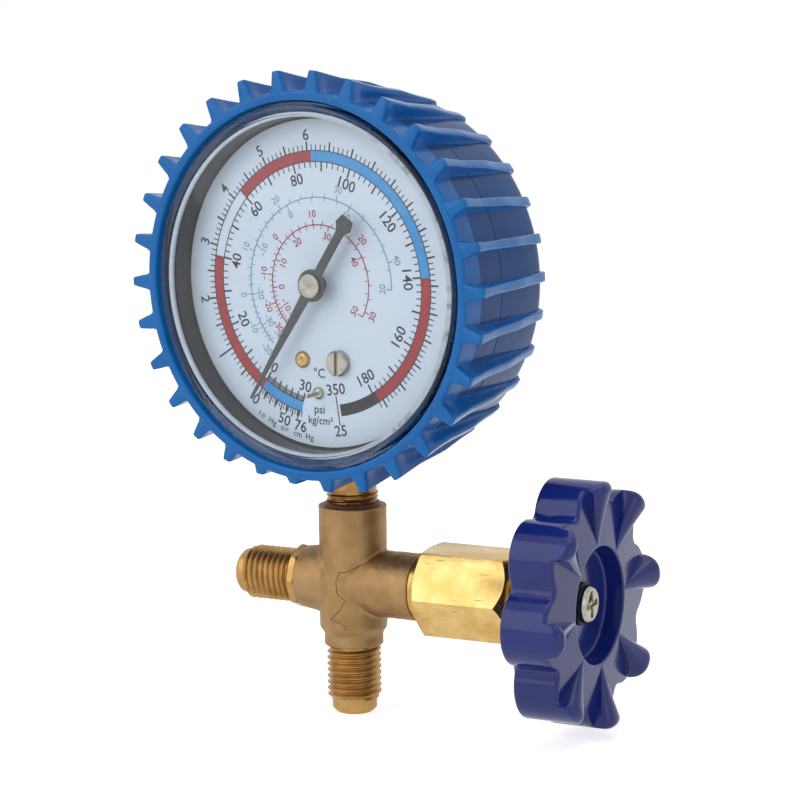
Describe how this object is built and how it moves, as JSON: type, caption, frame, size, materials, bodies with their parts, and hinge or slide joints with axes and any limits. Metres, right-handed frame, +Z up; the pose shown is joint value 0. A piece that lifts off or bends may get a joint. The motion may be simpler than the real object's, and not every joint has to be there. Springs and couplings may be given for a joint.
{
  "type": "refrigerant manifold gauge",
  "caption": "Dial pressure gauge in a ribbed rubber boot, screwed into a brass cross valve with flare ports, a hexagonal bonnet and a lobed handwheel.",
  "frame": {"origin": "centre of the lower flare port at the outer end of its thread", "axes": "+Z up along the gauge stem, +X along the valve axis to the handwheel, -Y to the dial side"},
  "size_m": [0.1019, 0.0498, 0.1314],
  "materials": {
    "forged_brass": "forged and blasted, satin",
    "polished_brass": "machined and polished",
    "turned_brass": "turned",
    "packing": "pressed fluoropolymer",
    "seat_plastic": "pressed fluoropolymer",
    "wheel_plastic": "moulded, glossy",
    "steel": "plated",
    "nickel": "nickel plated",
    "thread_sealant": "cured anaerobic sealant",
    "case_steel": "pressed and polished",
    "gasket_rubber": "moulded",
    "lens_plastic": "clear moulded acrylic",
    "boot_rubber": "moulded soft vinyl",
    "dial_enamel": "printed enamel",
    "tube_bronze": "phosphor bronze",
    "pointer_paint": "matt black paint"
  },
  "bodies": {
    "fixed_valve": {"valve_body": "forged_brass", "bonnet": "polished_brass", "bonnet_washer": "turned_brass", "packing_ring": "packing", "packing_nut": "polished_brass", "gauge_socket": "forged_brass", "case_screws": "steel", "thread_seal": "thread_sealant", "gauge_case": "case_steel", "lens_gasket": "gasket_rubber", "lens": "lens_plastic", "rubber_boot": "boot_rubber", "dial": "dial_enamel", "dial_spacers": "turned_brass", "dial_rivet": "turned_brass", "dial_screw": "nickel", "stop_pin": "nickel", "movement_front_plate": "turned_brass", "movement_back_plate": "turned_brass", "movement_pillars": "turned_brass", "movement_screws": "steel", "bourdon_tube": "tube_bronze", "hairspring": "tube_bronze", "hairspring_stud": "turned_brass"},
    "seat": {"seat_disc": "seat_plastic", "seat_carrier": "turned_brass"},
    "spindle": {"spindle": "turned_brass", "handwheel": "wheel_plastic", "wheel_washer": "steel", "wheel_screw": "nickel"},
    "sector": {"sector_gear": "turned_brass"},
    "pointer": {"pointer": "pointer_paint", "pointer_cap": "nickel", "pinion_arbor": "steel", "hairspring_collet": "turned_brass"},
    "link": {"link": "steel"},
    "tube_end": {"tube_end_piece": "turned_brass"}
  },
  "joints": [
    {"name": "valve_travel", "type": "slide", "parent": "fixed_valve", "child": "seat", "axis": [1, 0, 0], "range_m": [-0.00301, 0.00151]},
    {"name": "wheel_turn", "type": "hinge", "parent": "seat", "child": "spindle", "pos_m": [0, 0, 0.0242], "axis": [1, 0, 0], "range_deg": [-720, 360]},
    {"name": "sector_swing", "type": "hinge", "parent": "fixed_valve", "child": "sector", "pos_m": [-0.00996, -0.00847, 0.07711], "axis": [-0.1245, -0.9922, 0], "range_deg": [-1.85, 26.4], "deforming": ["bourdon_tube", "hairspring"]},
    {"name": "pointer_turn", "type": "hinge", "parent": "fixed_valve", "child": "pointer", "pos_m": [-0.0012, -0.00957, 0.08593], "axis": [-0.1245, -0.9922, 0], "range_deg": [-317, 22.4]},
    {"name": "link_turn", "type": "hinge", "parent": "sector", "child": "link", "pos_m": [-0.00882, -0.00861, 0.083], "axis": [-0.1245, -0.9922, 0], "range_deg": [-26.6, 2]},
    {"name": "tube_end_turn", "type": "hinge", "parent": "link", "child": "tube_end", "pos_m": [-0.02142, -0.00703, 0.08145], "axis": [-0.1245, -0.9922, 0], "range_deg": [-5.2, 0.5]}
  ],
  "couplings": [
    {"joint": "valve_travel", "follows": "wheel_turn", "m_per_rad": 0.00023873},
    {"joint": "pointer_turn", "follows": "sector_swing", "ratio": -12},
    {"joint": "link_turn", "follows": "sector_swing", "ratio": -1},
    {"joint": "tube_end_turn", "follows": "sector_swing", "ratio": -0.19}
  ]
}
